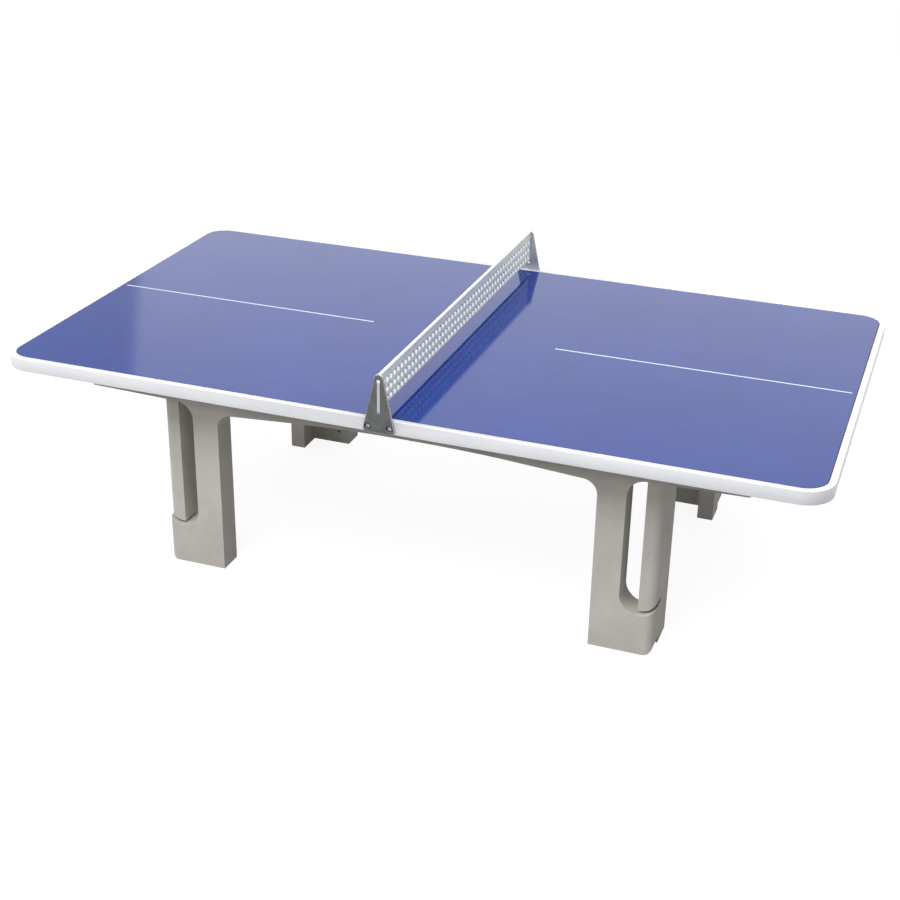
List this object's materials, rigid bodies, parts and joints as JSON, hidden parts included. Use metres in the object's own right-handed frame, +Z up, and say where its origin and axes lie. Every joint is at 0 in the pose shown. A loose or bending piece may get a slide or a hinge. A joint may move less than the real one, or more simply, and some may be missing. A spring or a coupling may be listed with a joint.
{
  "type": "outdoor table tennis table",
  "caption": "Outdoor table tennis table with a blue top in a metal edge, a fixed perforated metal net and a base of interlocking concrete frames.",
  "frame": {"origin": "centre of the base's footprint, on the ground", "axes": "+X along the length of the table, +Y across it along the net, +Z up"},
  "size_m": [2.74, 1.541, 0.9125],
  "materials": {
    "concrete": "smooth cast concrete",
    "core": "cast concrete",
    "surface": "glossy blue coating",
    "line": "pale inlay",
    "profile": "white powder coat on aluminium",
    "net": "light grey satin",
    "end_plate": "dark grey satin coat",
    "fastener": "zinc plated or stainless steel",
    "angle": "galvanised steel",
    "cast_in_steel": "bare steel",
    "rubber": "black rubber",
    "plug": "black plastic"
  },
  "bodies": {
    "root": {"top_core_slab": "core", "reinforcing_mat": "cast_in_steel", "playing_surface": "surface", "centre_line_left": "line", "centre_line_right": "line", "edge_profile_left": "profile", "edge_profile_right": "profile", "net_panel": "net", "net_end_plate_near": "end_plate", "net_end_plate_far": "end_plate", "net_bolt_near_left": "fastener", "net_bolt_near_right": "fastener", "net_bolt_far_left": "fastener", "net_bolt_far_right": "fastener", "net_washer_near_left": "fastener", "net_washer_near_right": "fastener", "net_washer_far_left": "fastener", "net_washer_far_right": "fastener", "net_anchor_near": "cast_in_steel", "net_anchor_far": "cast_in_steel", "long_frame_near": "concrete", "long_frame_far": "concrete", "cross_frame_left": "concrete", "cross_frame_right": "concrete", "bearing_strip_near": "rubber", "bearing_strip_far": "rubber", "top_angle_near_left": "angle", "top_angle_near_right": "angle", "top_angle_far_left": "angle", "top_angle_far_right": "angle", "corner_angle_near_left": "angle", "corner_angle_near_right": "angle", "corner_angle_far_left": "angle", "corner_angle_far_right": "angle", "slab_screw_near_left": "fastener", "slab_screw_near_right": "fastener", "slab_screw_far_left": "fastener", "slab_screw_far_right": "fastener", "beam_screw_near_left": "fastener", "beam_screw_near_right": "fastener", "beam_screw_far_left": "fastener", "beam_screw_far_right": "fastener", "corner_screw_near_left": "fastener", "corner_screw_near_right": "fastener", "corner_screw_far_left": "fastener", "corner_screw_far_right": "fastener", "cross_screw_near_left": "fastener", "cross_screw_near_right": "fastener", "cross_screw_far_left": "fastener", "cross_screw_far_right": "fastener", "ground_socket_near_left": "cast_in_steel", "ground_socket_near_right": "cast_in_steel", "ground_socket_far_left": "cast_in_steel", "ground_socket_far_right": "cast_in_steel", "ground_plug_near_left": "plug", "ground_plug_near_right": "plug", "ground_plug_far_left": "plug", "ground_plug_far_right": "plug"}
  },
  "joints": []
}
